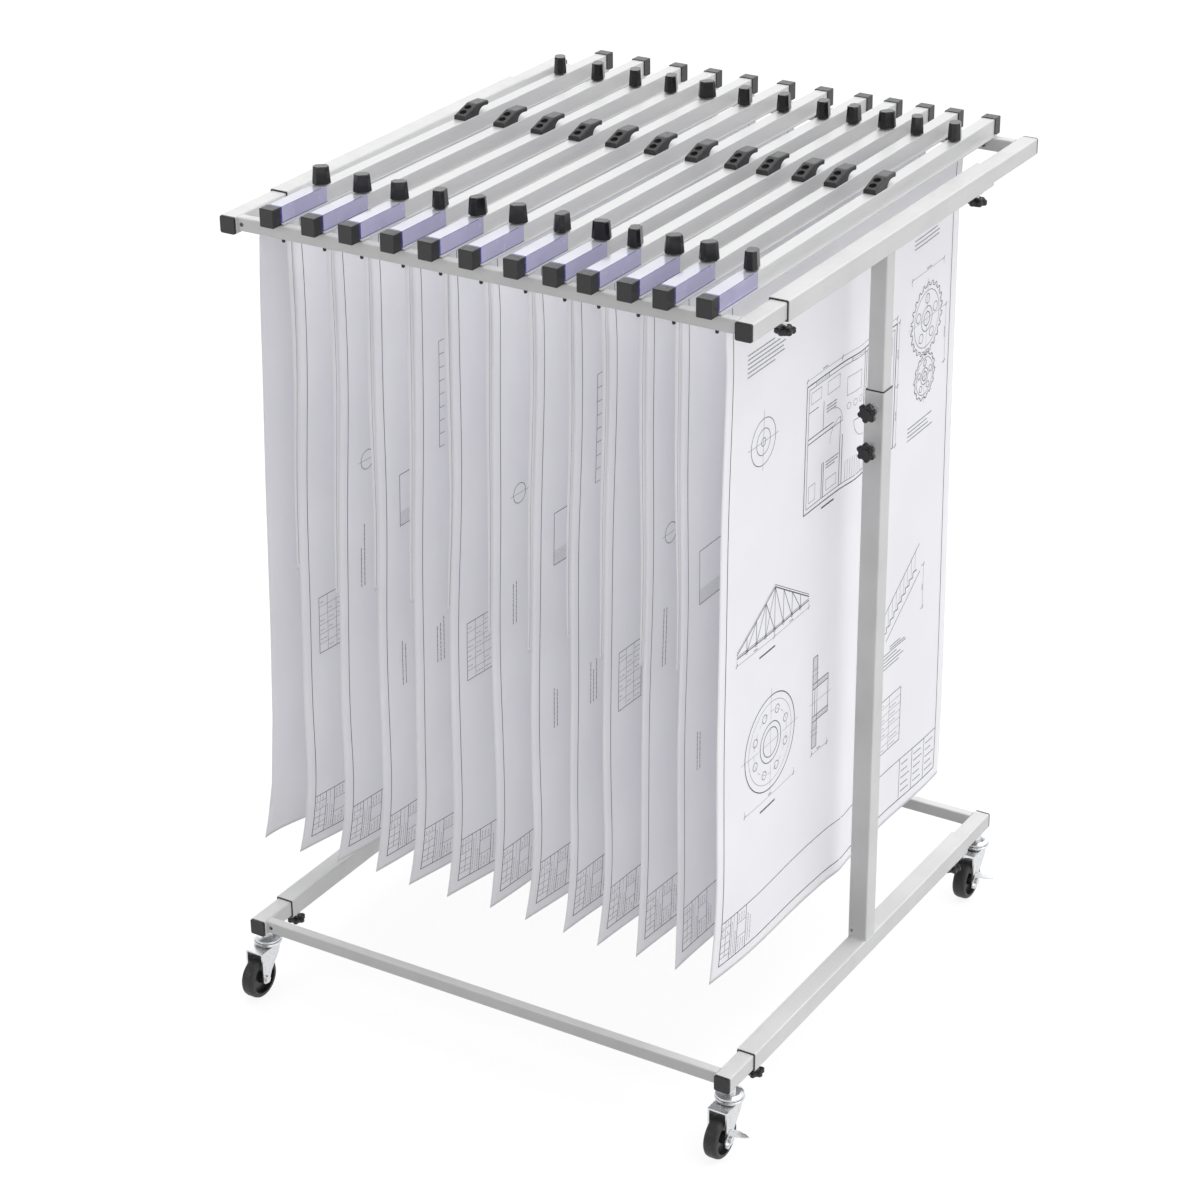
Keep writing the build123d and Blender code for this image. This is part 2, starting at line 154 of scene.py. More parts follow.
def edge_round(nt, radius):
    b = nt.nodes.new("ShaderNodeBevel")
    b.samples = 4
    b.inputs["Radius"].default_value = radius
    return b.outputs["Normal"]


def powder_coat(name, dark, light):
    m, nt, b = new_mat(name)
    v = coords(nt)
    nt.links.new(ramp(nt, noise(nt, v, 14.0, 3.0), [(0.3, dark), (0.7, light)]), b.inputs["Base Color"])
    nt.links.new(remap(nt, noise(nt, v, 60.0, 3.0), 0.36, 0.5), b.inputs["Roughness"])
    h = noise(nt, v, 900.0, 2.0)
    nt.links.new(bump(nt, h, 0.10, 0.0005), b.inputs["Normal"])
    b.inputs["Coat Weight"].default_value = 0.12
    b.inputs["Coat Roughness"].default_value = 0.25
    return m


def aluminium(name):
    m, nt, b = new_mat(name)
    v = coords(nt, (1.0, 0.02, 1.0))
    grain = noise(nt, v, 700.0, 3.0, 0.6)
    nt.links.new(ramp(nt, grain, [(0.25, (0.57, 0.57, 0.57)), (0.75, (0.64, 0.64, 0.64))]), b.inputs["Base Color"])
    b.inputs["Metallic"].default_value = 0.2
    nt.links.new(remap(nt, grain, 0.32, 0.46), b.inputs["Roughness"])
    nt.links.new(bump(nt, grain, 0.06, 0.0003), b.inputs["Normal"])
    return m


def plastic(name, dark, light, r_lo, r_hi, grain=1500.0, strength=0.12, radius=0.0):
    m, nt, b = new_mat(name)
    v = coords(nt)
    nt.links.new(ramp(nt, noise(nt, v, 120.0, 3.0), [(0.3, dark), (0.7, light)]), b.inputs["Base Color"])
    nt.links.new(remap(nt, noise(nt, v, 260.0, 3.0), r_lo, r_hi), b.inputs["Roughness"])
    n0 = edge_round(nt, radius) if radius else None
    nt.links.new(bump(nt, noise(nt, v, grain, 2.0), strength, 0.0004, n0), b.inputs["Normal"])
    return m


def zinc(name, dark=(0.62, 0.63, 0.64), light=(0.75, 0.755, 0.765), r_lo=0.24, r_hi=0.36):
    m, nt, b = new_mat(name)
    v = coords(nt)
    nt.links.new(ramp(nt, noise(nt, v, 180.0, 4.0), [(0.3, dark), (0.7, light)]), b.inputs["Base Color"])
    b.inputs["Metallic"].default_value = 1.0
    nt.links.new(remap(nt, noise(nt, v, 420.0, 3.0), r_lo, r_hi), b.inputs["Roughness"])
    nt.links.new(bump(nt, noise(nt, v, 1100.0, 2.0), 0.03, 0.0003), b.inputs["Normal"])
    return m


def film(name, dark, light, rough):
    m, nt, b = new_mat(name)
    v = coords(nt)
    nt.links.new(ramp(nt, noise(nt, v, 16.0, 2.0), [(0.25, dark), (0.75, light)]), b.inputs["Base Color"])
    nt.links.new(remap(nt, noise(nt, v, 90.0, 2.0), rough, rough + 0.12), b.inputs["Roughness"])
    nt.links.new(bump(nt, noise(nt, v, 70.0, 2.0), 0.05, 0.0006), b.inputs["Normal"])
    b.inputs["Coat Weight"].default_value = 0.5
    b.inputs["Coat Roughness"].default_value = 0.08
    return m


def paper(name, dark, light):
    m, nt, b = new_mat(name)
    v = coords(nt)
    cloud = noise(nt, v, 7.0, 3.0)
    nt.links.new(ramp(nt, cloud, [(0.3, dark), (0.7, light)]), b.inputs["Base Color"])
    b.inputs["Roughness"].default_value = 0.72
    b.inputs["Specular IOR Level"].default_value = 0.3
    fib = noise(nt, v, 520.0, 5.0, 0.65)
    n1 = bump(nt, noise(nt, v, 26.0, 2.0), 0.06, 0.004)
    nt.links.new(bump(nt, fib, 0.10, 0.0004, n1), b.inputs["Normal"])
    return m


def ink(name, tone):
    m, nt, b = new_mat(name)
    v = coords(nt)
    t2 = tuple(min(1.0, t * 1.7 + 0.02) for t in tone)
    nt.links.new(ramp(nt, noise(nt, v, 300.0, 3.0), [(0.3, tone), (0.75, t2)]), b.inputs["Base Color"])
    b.inputs["Roughness"].default_value = 0.8
    return m


MAT = {
    "coat": powder_coat("powder_coat_grey", (0.59, 0.59, 0.585), (0.645, 0.645, 0.64)),
    "alu": aluminium("clamp_bar_silver"),
    "cap": plastic("black_cap_plastic", (0.006, 0.006, 0.007), (0.011, 0.011, 0.012), 0.30, 0.42, 1500.0, 0.08, 0.0007),
    "handle": plastic("black_handle_plastic", (0.013, 0.013, 0.014), (0.024, 0.024, 0.025), 0.30, 0.44, 1300.0, 0.10, 0.0005),
    "screw": plastic("blackened_screw", (0.003, 0.003, 0.003), (0.006, 0.006, 0.006), 0.5, 0.65),
    "knob": plastic("black_knob_plastic", (0.007, 0.007, 0.008), (0.012, 0.012, 0.013), 0.16, 0.26, 1200.0, 0.02, 0.0013),
    "zinc": zinc("bright_zinc"),
    "steel": zinc("stud_steel", (0.55, 0.55, 0.56), (0.78, 0.78, 0.78), 0.18, 0.3),
    "tyre": plastic("black_tyre", (0.010, 0.010, 0.010), (0.018, 0.018, 0.018), 0.40, 0.6, 700.0, 0.15),
    "hub": plastic("black_hub", (0.012, 0.012, 0.013), (0.02, 0.02, 0.021), 0.3, 0.45, 900.0, 0.08),
    "film_side": film("label_film_side", (0.365, 0.35, 0.51), (0.43, 0.415, 0.59), 0.16),
    # film_top_painted_sky_sheen: the same blue film as film_side, with a paler, more neutral base colour as painted sky
    # reflection
    "film_top_painted_sky_sheen": film("label_film_top", (0.43, 0.43, 0.505), (0.51, 0.51, 0.585), 0.07),
    "film_edge": film("label_film_edge", (0.020, 0.020, 0.20), (0.035, 0.035, 0.28), 0.2),
    "paper": paper("plan_paper", (0.895, 0.89, 0.922), (0.93, 0.926, 0.952)),
    "ink": ink("drawing_ink", (0.045, 0.045, 0.055)),
    "ink_soft": ink("drawing_ink_soft", (0.20, 0.20, 0.22)),
    # bore: near-black painted shade for the tube insides, so the vent holes read dark
    "bore": plastic("tube_inside_painted_shade", (0.008, 0.008, 0.008), (0.016, 0.015, 0.014), 0.6, 0.8),
    "weld": powder_coat("powder_coat_weld", (0.56, 0.56, 0.555), (0.63, 0.63, 0.625)),
}


def centres(obj):
    me = obj.data
    c = np.zeros(len(me.polygons) * 3)
    me.polygons.foreach_get("center", c)
    return c.reshape(-1, 3) * 1000.0 + np.array([OX, OY, 0.0])


def dress(name, default, rules=()):
    """Gives a CAD node its materials: default, then each (mask, material) in turn."""
    o = NODES[name]
    me = o.data
    me.materials.clear()
    keys = [default] + [k for _, k in rules]
    uniq = list(dict.fromkeys(keys))
    for k in uniq:
        me.materials.append(MAT[k])
    idx = np.full(len(me.polygons), uniq.index(default), np.int32)
    for mask, k in rules:
        idx[mask] = uniq.index(k)
    me.polygons.foreach_set("material_index", idx)
    me.update()


# ---------------------------------------------------------------- CAD nodes: finishes
for side in ("left", "right"):
    dress("lower_frame_" + side, "coat")
    dress("upper_frame_" + side, "coat")
dress("lower_weld_nuts", "zinc")
dress("upper_weld_nuts", "zinc")


def inside(C, yb, zt):
    """Faces on the inside of the two square tubes and of the bar between them, which get a near-black painted shade."""
    tube = (np.abs(np.abs(C[:, 0]) - SIDE_X) < IN_TUBE / 2 - 1.15) & (np.abs(C[:, 2] - zt) < IN_TUBE / 2 - 1.15)
    bar = (np.abs(C[:, 0]) < SIDE_X - IN_TUBE / 2) & (np.abs(C[:, 1] - yb) < BAR_D / 2 - 0.4)
    bar &= (C[:, 2] < zt + IN_TUBE / 2 - 1.0) & (C[:, 2] > zt + IN_TUBE / 2 - BAR_H + 1.0)
    return tube | bar


for end, sy in (("front", -1), ("rear", 1)):
    C = centres(NODES["base_%s_frame" % end])
    # tube insides get the near-black painted shade (bore)
    dress("base_%s_frame" % end, "coat", [(inside(C, sy * BASE_BAR, Z_BASE), "bore"), (C[:, 2] < Z_BASE - IN_TUBE / 2 - 0.2, "zinc")])
    C = centres(NODES["top_%s_frame" % end])
    dress("top_%s_frame" % end, "coat", [(inside(C, TOP_F_BAR if sy < 0 else TOP_R_BAR, Z_TOP), "bore")])
    dress("base_%s_end_caps" % end, "cap")
    dress("top_%s_end_caps" % end, "cap")
    for side, sx in (("left", -1), ("right", 1)):
        key = "%s_%s" % (end, side)
        dress("castor_fork_" + key, "zinc")
        C = centres(NODES["castor_wheel_" + key])
        sy = -1 if end == "front" else 1
        r = np.hypot(C[:, 1] - (sy * 405.0 - 28.0), C[:, 2] - 32.5)
        dress("castor_wheel_" + key, "tyre", [(r < 24.45, "hub")])
        if side == "right":
            dress("castor_brake_" + key, "zinc")
for side, sx in (("left", -1), ("right", 1)):
    for lv, z in (("upper", 993.0), ("lower", 934.0)):
        n = "post_knob_%s_%s" % (side, lv)
        C = centres(NODES[n])
        dress(n, "knob", [((np.hypot(C[:, 0] - sx * SIDE_X, C[:, 2] - z) < 3.05) & (C[:, 1] > -OUT_TUBE / 2 - 12.05), "steel")])
    for end, y in (("front", -332.0), ("rear", 318.0)):
        n = "base_knob_%s_%s" % (end, side)
        C = centres(NODES[n])
        dress(n, "knob", [((np.hypot(C[:, 0] - sx * SIDE_X, C[:, 1] - y) < 3.05) & (C[:, 2] > Z_BASE - OUT_TUBE / 2 - 12.05), "steel")])
    for end, y in zip(("front", "rear"), KNOB_TOP[side]):
        n = "top_knob_%s_%s" % (end, side)
        C = centres(NODES[n])
        dress(n, "knob", [((np.hypot(C[:, 0] - sx * SIDE_X, C[:, 1] - y) < 3.05) & (C[:, 2] > Z_TOP - OUT_TUBE / 2 - 12.05), "steel")])

for i in range(12):
    n = "clamp_%02d" % (i + 1)
    C = post_to_clamp(i, centres(NODES[n]))
    x, y, z = C[:, 0], C[:, 1], C[:, 2]
    cap = ((y < CL_F + CAP_D + 0.1) | (y > CL_R - CAP_D - 0.1)) & (z > Z_CAP - 0.2)
    pin = z < ZB - 0.02
    pin &= (np.abs(y - PIN_F) < 5) | (np.abs(y - PIN_R) < 5)
    hand = (y > HANDLE_Y - 0.2) & (y < HANDLE_Y + 62.2) & (z > ZT + 0.02)
    screw = np.zeros(len(C), bool)
    for sy in (9.5, 22.5):
        screw |= (np.hypot(x, y - HANDLE_Y - sy) < 5.42) & (z > ZT + 0.5)
    knob = ((np.hypot(x, y - KNOB_F) < 16.0) | (np.hypot(x, y - KNOB_R) < 16.0)) & (z > ZT + 0.05)
    side = (x > W2 + 0.01) & (x < W2 + 0.7) & (y > CL_F + CAP_D + 0.2) & (y < LABEL_SIDE + 0.2) & (z > ZB + 1.65)
    # top: label film faces on the clamp top, which get the painted sky reflection colour
    top = (z > ZT + 0.02) & (z < ZT + 0.65) & (y < LABEL_TOP + 0.2) & (y > CL_F + CAP_D + 0.2) & (x < W2 - 0.2)
    dress(n, "alu", [(side, "film_side"), (top, "film_top_painted_sky_sheen"), (pin, "cap"), (hand, "handle"), (screw, "screw"), (knob, "knob"), (cap, "cap")])


# ---------------------------------------------------------------- mesh helpers
def mesh_obj(name, verts, faces, mat, body, smooth=True):
    me = bpy.data.meshes.new(name)
    me.from_pydata([tuple(v) for v in verts], [], [tuple(f) for f in faces])
    me.validate()
    me.update()
    if smooth:
        me.polygons.foreach_set("use_smooth", np.ones(len(me.polygons), bool))
    o = bpy.data.objects.new(name, me)
    bpy.context.scene.collection.objects.link(o)
    o.data.materials.append(MAT[mat])
    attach(o, body)
    return o


class Mesh:
    """Collects faces in the rack's layout (mm)."""

    def __init__(self):
        self.v, self.f = [], []

    def grid(self, P, closed_u=False, closed_v=False):
        nu, nv = P.shape[:2]
        k = len(self.v)
        self.v += [tuple(p) for p in P.reshape(-1, 3)]
        for a in range(nu if closed_u else nu - 1):
            for b in range(nv if closed_v else nv - 1):
                a2, b2 = (a + 1) % nu, (b + 1) % nv
                self.f.append((k + a * nv + b, k + a2 * nv + b, k + a2 * nv + b2, k + a * nv + b2))
        return k

    def cap(self, idx):
        self.f.append(tuple(idx))

    def box(self, x0, x1, y0, y1, z0, z1, tf=None):
        k = len(self.v)
        P = np.array([(x, y, z) for x in (x0, x1) for y in (y0, y1) for z in (z0, z1)], float)
        if tf is not None:
            P = tf(P)
        self.v += [tuple(p) for p in P]
        for f in ((0, 1, 3, 2), (4, 6, 7, 5), (0, 4, 5, 1), (2, 3, 7, 6), (0, 2, 6, 4), (1, 5, 7, 3)):
            self.f.append(tuple(k + q for q in f))

    def make(self, name, mat, body, smooth=True, slot=None):
        return mesh_obj(name, world_arr(self.v), self.f, mat, body, smooth)


def rounded_square(half, r, n=5):
    pts = []
    for cx, cy, a0 in ((half - r, half - r, 0), (-half + r, half - r, 90), (-half + r, -half + r, 180), (half - r, -half + r, 270)):
        for k in range(n + 1):
            a = math.radians(a0 + 90.0 * k / n)
            pts.append((cx + r * math.cos(a), cy + r * math.sin(a)))
    return np.array(pts)


def frame_axes(axis):
    if axis == "Y":
        return np.array([1, 0, 0.0]), np.array([0, 0, 1.0]), np.array([0, 1.0, 0])
    if axis == "Z":
        return np.array([1, 0, 0.0]), np.array([0, 1.0, 0]), np.array([0, 0, 1.0])
    return np.array([0, 1.0, 0]), np.array([0, 0, 1.0]), np.array([1.0, 0, 0])


def bush_with_gap_shade(name, body, axis, centre, out):
    """Black glide bush whose lip shows at the mouth of an outer tube; its black lip also stands in for the shadowed gap
    there, as painted shade.
    """
    e1, e2, e3 = frame_axes(axis)
    rings = []
    for half, r, d in ((12.56, 1.0, -1.2), (12.56, 1.0, 0.9), (12.9, 1.3, 1.5), (13.9, 2.0, 1.4), (14.1, 2.1, 0.1), (13.7, 1.7, 0.1), (13.7, 1.7, -1.2)):
        sq = rounded_square(half, r)
        rings.append(np.array(centre) + sq[:, :1] * e1 + sq[:, 1:] * e2 + out * d * e3)
    m = Mesh()
    m.grid(np.array(rings), closed_u=True, closed_v=True)
    return m.make(name, "cap", body, True, "black_plastic")


# black bush lips: a real glide bush, and painted shade for the dark gap at each tube mouth
for side, sx in (("left", -1), ("right", 1)):
    x = sx * SIDE_X
    bush_with_gap_shade("glide_bush_top_front_" + side, "upper", "Y", (x, RAIL_Y[side][0], Z_TOP), -1)
    bush_with_gap_shade("glide_bush_top_rear_" + side, "upper", "Y", (x, RAIL_Y[side][1], Z_TOP), 1)
    bush_with_gap_shade("glide_bush_base_front_" + side, "lower", "Y", (x, BEAM_Y[0], Z_BASE), -1)
    bush_with_gap_shade("glide_bush_base_rear_" + side, "lower", "Y", (x, BEAM_Y[1], Z_BASE), 1)
    bush_with_gap_shade("glide_bush_post_" + side, "lower", "Z", (x, 0.0, SLEEVE_TOP), 1)


def bead(name, body, pts, seed, r=1.5):
    """Painted weld bead along an open path, half sunk in the joint."""
    rnd = random.Random(seed)
    pts = [np.array(p, float) for p in pts]
    path = []
    for a, b in zip(pts[:-1], pts[1:]):
        n = max(2, int(np.linalg.norm(b - a) / 1.1))
        path += [a + (b - a) * k / n for k in range(n)]
    path.append(pts[-1])
    path = np.array(path)
    rings = []
    for k, p in enumerate(path):
        t = path[min(k + 1, len(path) - 1)] - path[max(k - 1, 0)]
        t /= np.linalg.norm(t)
        u = np.cross(t, (0.3, 0.5, 0.81))
        u /= np.linalg.norm(u)
        w = np.cross(t, u)
        rr = r * (0.86 + 0.16 * math.sin(k * 1.9 + seed) + 0.10 * rnd.random())
        if k in (0, len(path) - 1):
            rr *= 0.45
        rings.append([p + rr * (math.cos(q) * u + math.sin(q) * w) for q in np.linspace(0, 2 * math.pi, 8, endpoint=False)])
    m = Mesh()
    k0 = m.grid(np.array(rings), closed_v=True)
    m.cap([k0 + q for q in range(7, -1, -1)])
    e = k0 + (len(path) - 1) * 8
    m.cap([e + q for q in range(8)])
    return m.make(name, "weld", body, True, "powder_coat")


seed = 0
for side, sx in (("left", -1), ("right", 1)):
    xi = sx * (SIDE_X - IN_TUBE / 2)
    for tag, body, yb, zt in (("top_front", "top_front", TOP_F_BAR, Z_TOP + 12.5), ("top_rear", "top_rear", TOP_R_BAR, Z_TOP + 12.5),
                              ("base_front", "base_front", -BASE_BAR, Z_BASE + 12.5), ("base_rear", "base_rear", BASE_BAR, Z_BASE + 12.5)):
        seed += 1
        y0, y1, z1, z0 = yb - BAR_D / 2, yb + BAR_D / 2, zt, zt - BAR_H
        bead("weld_%s_%s_a" % (tag, side), body, [(xi, y0, z1 - 1.5), (xi, y0, z0), (xi, y1, z0), (xi, y1, z1 - 1.5)], seed, 1.3)
    seed += 1
    x = sx * SIDE_X
    zf = Z_BASE + OUT_TUBE / 2
    for k, y in enumerate((-OUT_TUBE / 2, OUT_TUBE / 2)):
        bead("weld_post_foot_%s_%d" % (side, k), "lower", [(x - 12.6, y, zf), (x + 12.6, y, zf)], seed + k, 1.6)
        bead("weld_post_head_%s_%d" % (side, k), "upper", [(x - 11.5, y * IN_TUBE / OUT_TUBE, Z_TOP - OUT_TUBE / 2), (x + 11.5, y * IN_TUBE / OUT_TUBE, Z_TOP - OUT_TUBE / 2)], seed + 5 + k, 1.4)

# ---------------------------------------------------------------- clamps: label film edges
for i in range(12):
    n = "%02d" % (i + 1)
    tf = lambda P, i=i: clamp_to_post(i, P)
    m = Mesh()
    f0 = CL_F + CAP_D + 0.35
    m.box(W2 + 0.66, W2 + 0.95, f0, f0 + 3.4, ZB + 1.8, ZT + 0.7, tf)
    m.box(-W2 + 0.2, W2 + 0.9, f0, f0 + 3.8, ZT + 0.62, ZT + 0.85, tf)
    m.box(W2 + 0.66, W2 + 0.9, f0 + 3.4, LABEL_SIDE - 0.3, ZB + 1.8, ZB + 2.5, tf)
    m.box(W2 + 0.3, W2 + 0.9, f0 + 3.8, LABEL_TOP - 0.3, ZT + 0.45, ZT + 0.8, tf)
    m.make("label_edge_" + n, "film_edge", "clamp_" + n, False)

# ---------------------------------------------------------------- hung sheets
CORNER = [49.3, 55.6, 41.5, 45.9, 41.9, 29.3, 37.0, 32.8, 28.0, 18.2, 6.0, 16.3]
DROP = [-6.3, -3.6, 1.1, -3.1, -2.1, 2.5, 1.3, -0.1, -4.0, -1.8, -1.7, -9.2]


def smooth(x, a, b):
    t = np.clip((x - a) / (b - a), 0, 1)
    return t * t * (3 - 2 * t)


class Sheet:
    """One hung sheet: a is mm from its front edge, b mm above its bottom edge."""

    def __init__(self, i, kind):
        self.i, self.kind = i, kind
        rnd = random.Random(37 * i + 5)
        self.ph = [rnd.uniform(0, 6.28) for _ in range(8)]
        self.amp = [rnd.uniform(0.7, 1.3) for _ in range(8)]
        self.bow = rnd.uniform(-7.0, 7.0)
        rnd = random.Random(37 * i + {"main": 1, "short": 2, "blank": 3}[kind])
        self.top = ZB + 11.0
        self.lean = 0.0
        if kind == "main":
            self.f, self.w, self.z0 = SHEET_F + rnd.uniform(-1.0, 1.0), SHEET_W, SHEET_Z + DROP[i]
            self.off = 1.2
        elif kind == "short":
            self.f, self.w, self.z0 = SHEET_F - 12.5 + rnd.uniform(-1.5, 1.5), SHEET_W, 684.0 + rnd.uniform(-22, 22)
            self.off = -1.3
            self.lean = 0.0165 + rnd.uniform(-0.0015, 0.0015)
        else:
            self.f, self.w, self.z0 = SHEET_F - 3.0, SHEET_W, SHEET_Z
            self.off = 0.0
        self.l = self.top - self.z0

    def local(self, a, b):
        a, b = np.asarray(a, float), np.asarray(b, float)
        z = self.z0 + b
        d = np.maximum(ZB - z, 0.0)
        y = self.f + a + self.lean * d
        t = np.clip(d / (ZB - SHEET_Z), 0, 1)
        am = np.maximum(y - SHEET_F, -20.0)
        hang = smooth(d, 0, 90)
        i, ph, am_ = self.i, self.ph, self.amp
        if self.kind == "blank":
            zs = [224, 263, 326, 441, 603, 837, 988, 1109, 1150, 1203]
            dx = [-58, -49, -38, -29, -22, -15, -9, -5, -3, 0]
            front = np.interp(z, zs, dx)
            w = np.exp(-(np.maximum(am, 0) / 132.0) ** 2)
            x = -0.6 - 54.0 * smooth(d, 0, 36) + front * w - 6.0 * smooth(d, 60, 420) * (1 - w)
            x = x + 2.0 * hang * np.sin(am / 210.0 + ph[0]) * t
        else:
            fl = 0.51 * CORNER[i]
            cu = 0.49 * CORNER[i]
            x = self.off * hang + (-0.25 if self.kind == "short" else 0.25)
            x = x - fl * smooth(t, 0.06, 0.80) * np.exp(-(np.maximum(am, 0) / 230.0) ** 1.6)
            x = x + self.bow * np.sin(math.pi * np.clip(am / SHEET_W, 0, 1)) * smooth(t, 0.1, 1.0)
            if self.kind == "main":
                q = np.clip(1 - (b + 0.58 * np.maximum(a, 0)) / 205.0, 0, 1)
                x = x - cu * q ** 2.2
                q2 = np.clip(1 - (b + 0.8 * np.maximum(self.w - a, 0)) / 160.0, 0, 1)
                x = x - 0.25 * cu * q2 ** 2
            else:
                q = np.clip(1 - (b + 0.8 * np.maximum(a, 0)) / 120.0, 0, 1)
                x = x - 0.5 * q ** 2
            edge = np.exp(-np.maximum(am, 0) / 150.0)
            x = x + hang * (0.9 * am_[0] * np.sin(z / 62.0 + ph[0]) * edge + 1.3 * am_[1] * np.sin(z / 128.0 + ph[1]) * (0.35 + 0.65 * edge))
            x = x + hang * t * (1.8 * am_[2] * np.sin(am / 96.0 + ph[2] + z / 900.0) + 1.4 * am_[3] * np.sin(am / 47.0 + ph[3] - z / 700.0))
            if i == 11:
                fold = np.exp(-((am - 392.0 + 0.02 * d) / 26.0) ** 2)
                x = x + 3.2 * fold * smooth(d, 10, 160) - 5.0 * smooth(am, 560, 716) * hang * (1 - 0.9 * t)
        return np.stack([x, y, z], -1)

    def post(self, a, b):
        return clamp_to_post(self.i, self.local(a, b))

    def normal(self, a, b, h=1.0):
        da = self.post(a + h, b) - self.post(a - h, b)
        db = self.post(a, b + h) - self.post(a, b - h)
        n = np.cross(da, db)
        return n / np.linalg.norm(n, axis=-1, keepdims=True)

    def build(self, name, na, nb, thick=0.32):
        a = np.linspace(0, self.w, na)
        b = np.concatenate([np.linspace(0, 220, nb // 3, endpoint=False), np.linspace(220, self.l - 120, nb // 2, endpoint=False), np.linspace(self.l - 120, self.l, nb - nb // 3 - nb // 2)])
        A, B = np.meshgrid(a, b, indexing="ij")
        P, N = self.post(A, B), self.normal(A, B)
        front, back = P + N * thick / 2, P - N * thick / 2
        nb_ = len(b)
        V = np.concatenate([front.reshape(-1, 3), back.reshape(-1, 3)])
        F = []
        o = na * nb_
        for p in range(na - 1):
            for q in range(nb_ - 1):
                k = p * nb_ + q
                F.append((k, k + nb_, k + nb_ + 1, k + 1))
                F.append((o + k, o + k + 1, o + k + nb_ + 1, o + k + nb_))
        rim = [p * nb_ for p in range(na)] + [(na - 1) * nb_ + q for q in range(1, nb_)]
        rim += [p * nb_ + nb_ - 1 for p in range(na - 2, -1, -1)] + [q for q in range(nb_ - 2, 0, -1)]
        for p, q in zip(rim, rim[1:] + rim[:1]):
            F.append((q, p, o + p, o + q))
        ob = mesh_obj(name, world_arr(V), F, "paper", "clamp_%02d" % (self.i + 1), True)
        return ob


class Ink:
    """Drawing lines laid on a sheet's right face as thin flat ribbons."""

    def __init__(self, sheet):
        self.s = sheet
        self.weight = 1.25 if sheet.i == 11 else 1.0
        self.v, self.f, self.m = [], [], []

    def line(self, pts, w=1.0, soft=0, step=14.0):
        w = w * self.weight
        pts = [np.array(p, float) for p in pts]
        for p, q in zip(pts[:-1], pts[1:]):
            d = q - p
            L = float(np.hypot(*d))
            if L < 1e-6:
                continue
            u = d / L
            n = np.array([-u[1], u[0]])
            k = max(1, int(math.ceil(L / step)))
            ts = np.linspace(-0.3 * w / L, 1 + 0.3 * w / L, k + 1)
            mid = p + ts[:, None] * d
            AB = np.stack([mid + n * w / 2, mid - n * w / 2], 1)
            P = self.s.post(AB[..., 0], AB[..., 1]) + self.s.normal(AB[..., 0], AB[..., 1]) * 0.34
            k0 = len(self.v)
            self.v += [tuple(x) for x in P.reshape(-1, 3)]
            for j in range(k):
                self.f.append((k0 + 2 * j + 1, k0 + 2 * j + 3, k0 + 2 * j + 2, k0 + 2 * j))
                self.m.append(soft)

    def rect(self, a0, b0, a1, b1, w=1.0, soft=0):
        self.line([(a0, b0), (a1, b0), (a1, b1), (a0, b1), (a0, b0)], w, soft)

    def arc(self, ca, cb, r, d0=0, d1=360, w=0.9, soft=0, n=None):
        n = n or max(6, int(abs(d1 - d0) / 12))
        self.line([(ca + r * math.cos(math.radians(d0 + (d1 - d0) * k / n)), cb + r * math.sin(math.radians(d0 + (d1 - d0) * k / n))) for k in range(n + 1)], w, soft)

    def hatch(self, a0, b0, a1, b1, gap=5.0, w=0.6, soft=1):
        s = a0 - b1
        while s < a1 - b0:
            s += gap
            p = []
            for a in (a0, a1):
                b = a - s
                if b0 <= b <= b1:
                    p.append((a, b))
            for b in (b0, b1):
                a = b + s
                if a0 < a < a1:
                    p.append((a, b))
            if len(p) >= 2:
                self.line([p[0], p[1]], w, soft)

    def words(self, a, b, along, rows, pitch, seed, h=1.5, up=False, soft=1):
        """Greeked note block: short bars in rows, or in columns when up."""
        rnd = random.Random(seed)
        for r in range(rows):
            p = 0.0
            end = along * rnd.uniform(0.6, 1.0)
            while p < end:
                q = rnd.uniform(2.2, 7.5)
                if up:
                    self.line([(a + r * pitch, b + p), (a + r * pitch, b + p + q)], h, soft)
                else:
                    self.line([(a + p, b - r * pitch), (a + p + q, b - r * pitch)], h, soft)
                p += q + 1.7

    def dim(self, a0, b0, a1, b1, off, seed):
        """Dimension line with ticks and a greeked figure."""
        if abs(a1 - a0) > abs(b1 - b0):
            b = b0 + off
            self.line([(a0, b), (a1, b)], 0.6, 1)
            for a in (a0, a1):
                self.line([(a, b0 + 0.25 * off), (a, b + 0.2 * off)], 0.6, 1)
                self.line([(a - 2.4, b - 2.4), (a + 2.4, b + 2.4)], 0.9)
            self.words((a0 + a1) / 2 - 6, b + 3, 12, 1, 3, seed)
        else:
            a = a0 + off
            self.line([(a, b0), (a, b1)], 0.6, 1)
            for b in (b0, b1):
                self.line([(a0 + 0.25 * off, b), (a + 0.2 * off, b)], 0.6, 1)
                self.line([(a - 2.4, b - 2.4), (a + 2.4, b + 2.4)], 0.9)
            self.words(a - 3, (b0 + b1) / 2 - 6, 12, 1, 3, seed, up=True)

    def make(self, name):
        body = "clamp_%02d" % (self.s.i + 1)
        o = mesh_obj(name, world_arr(self.v), self.f, "ink", body, False)
        o.data.materials.append(MAT["ink_soft"])
        o.data.polygons.foreach_set("material_index", np.array(self.m, np.int32))
        o.data.update()
        return o


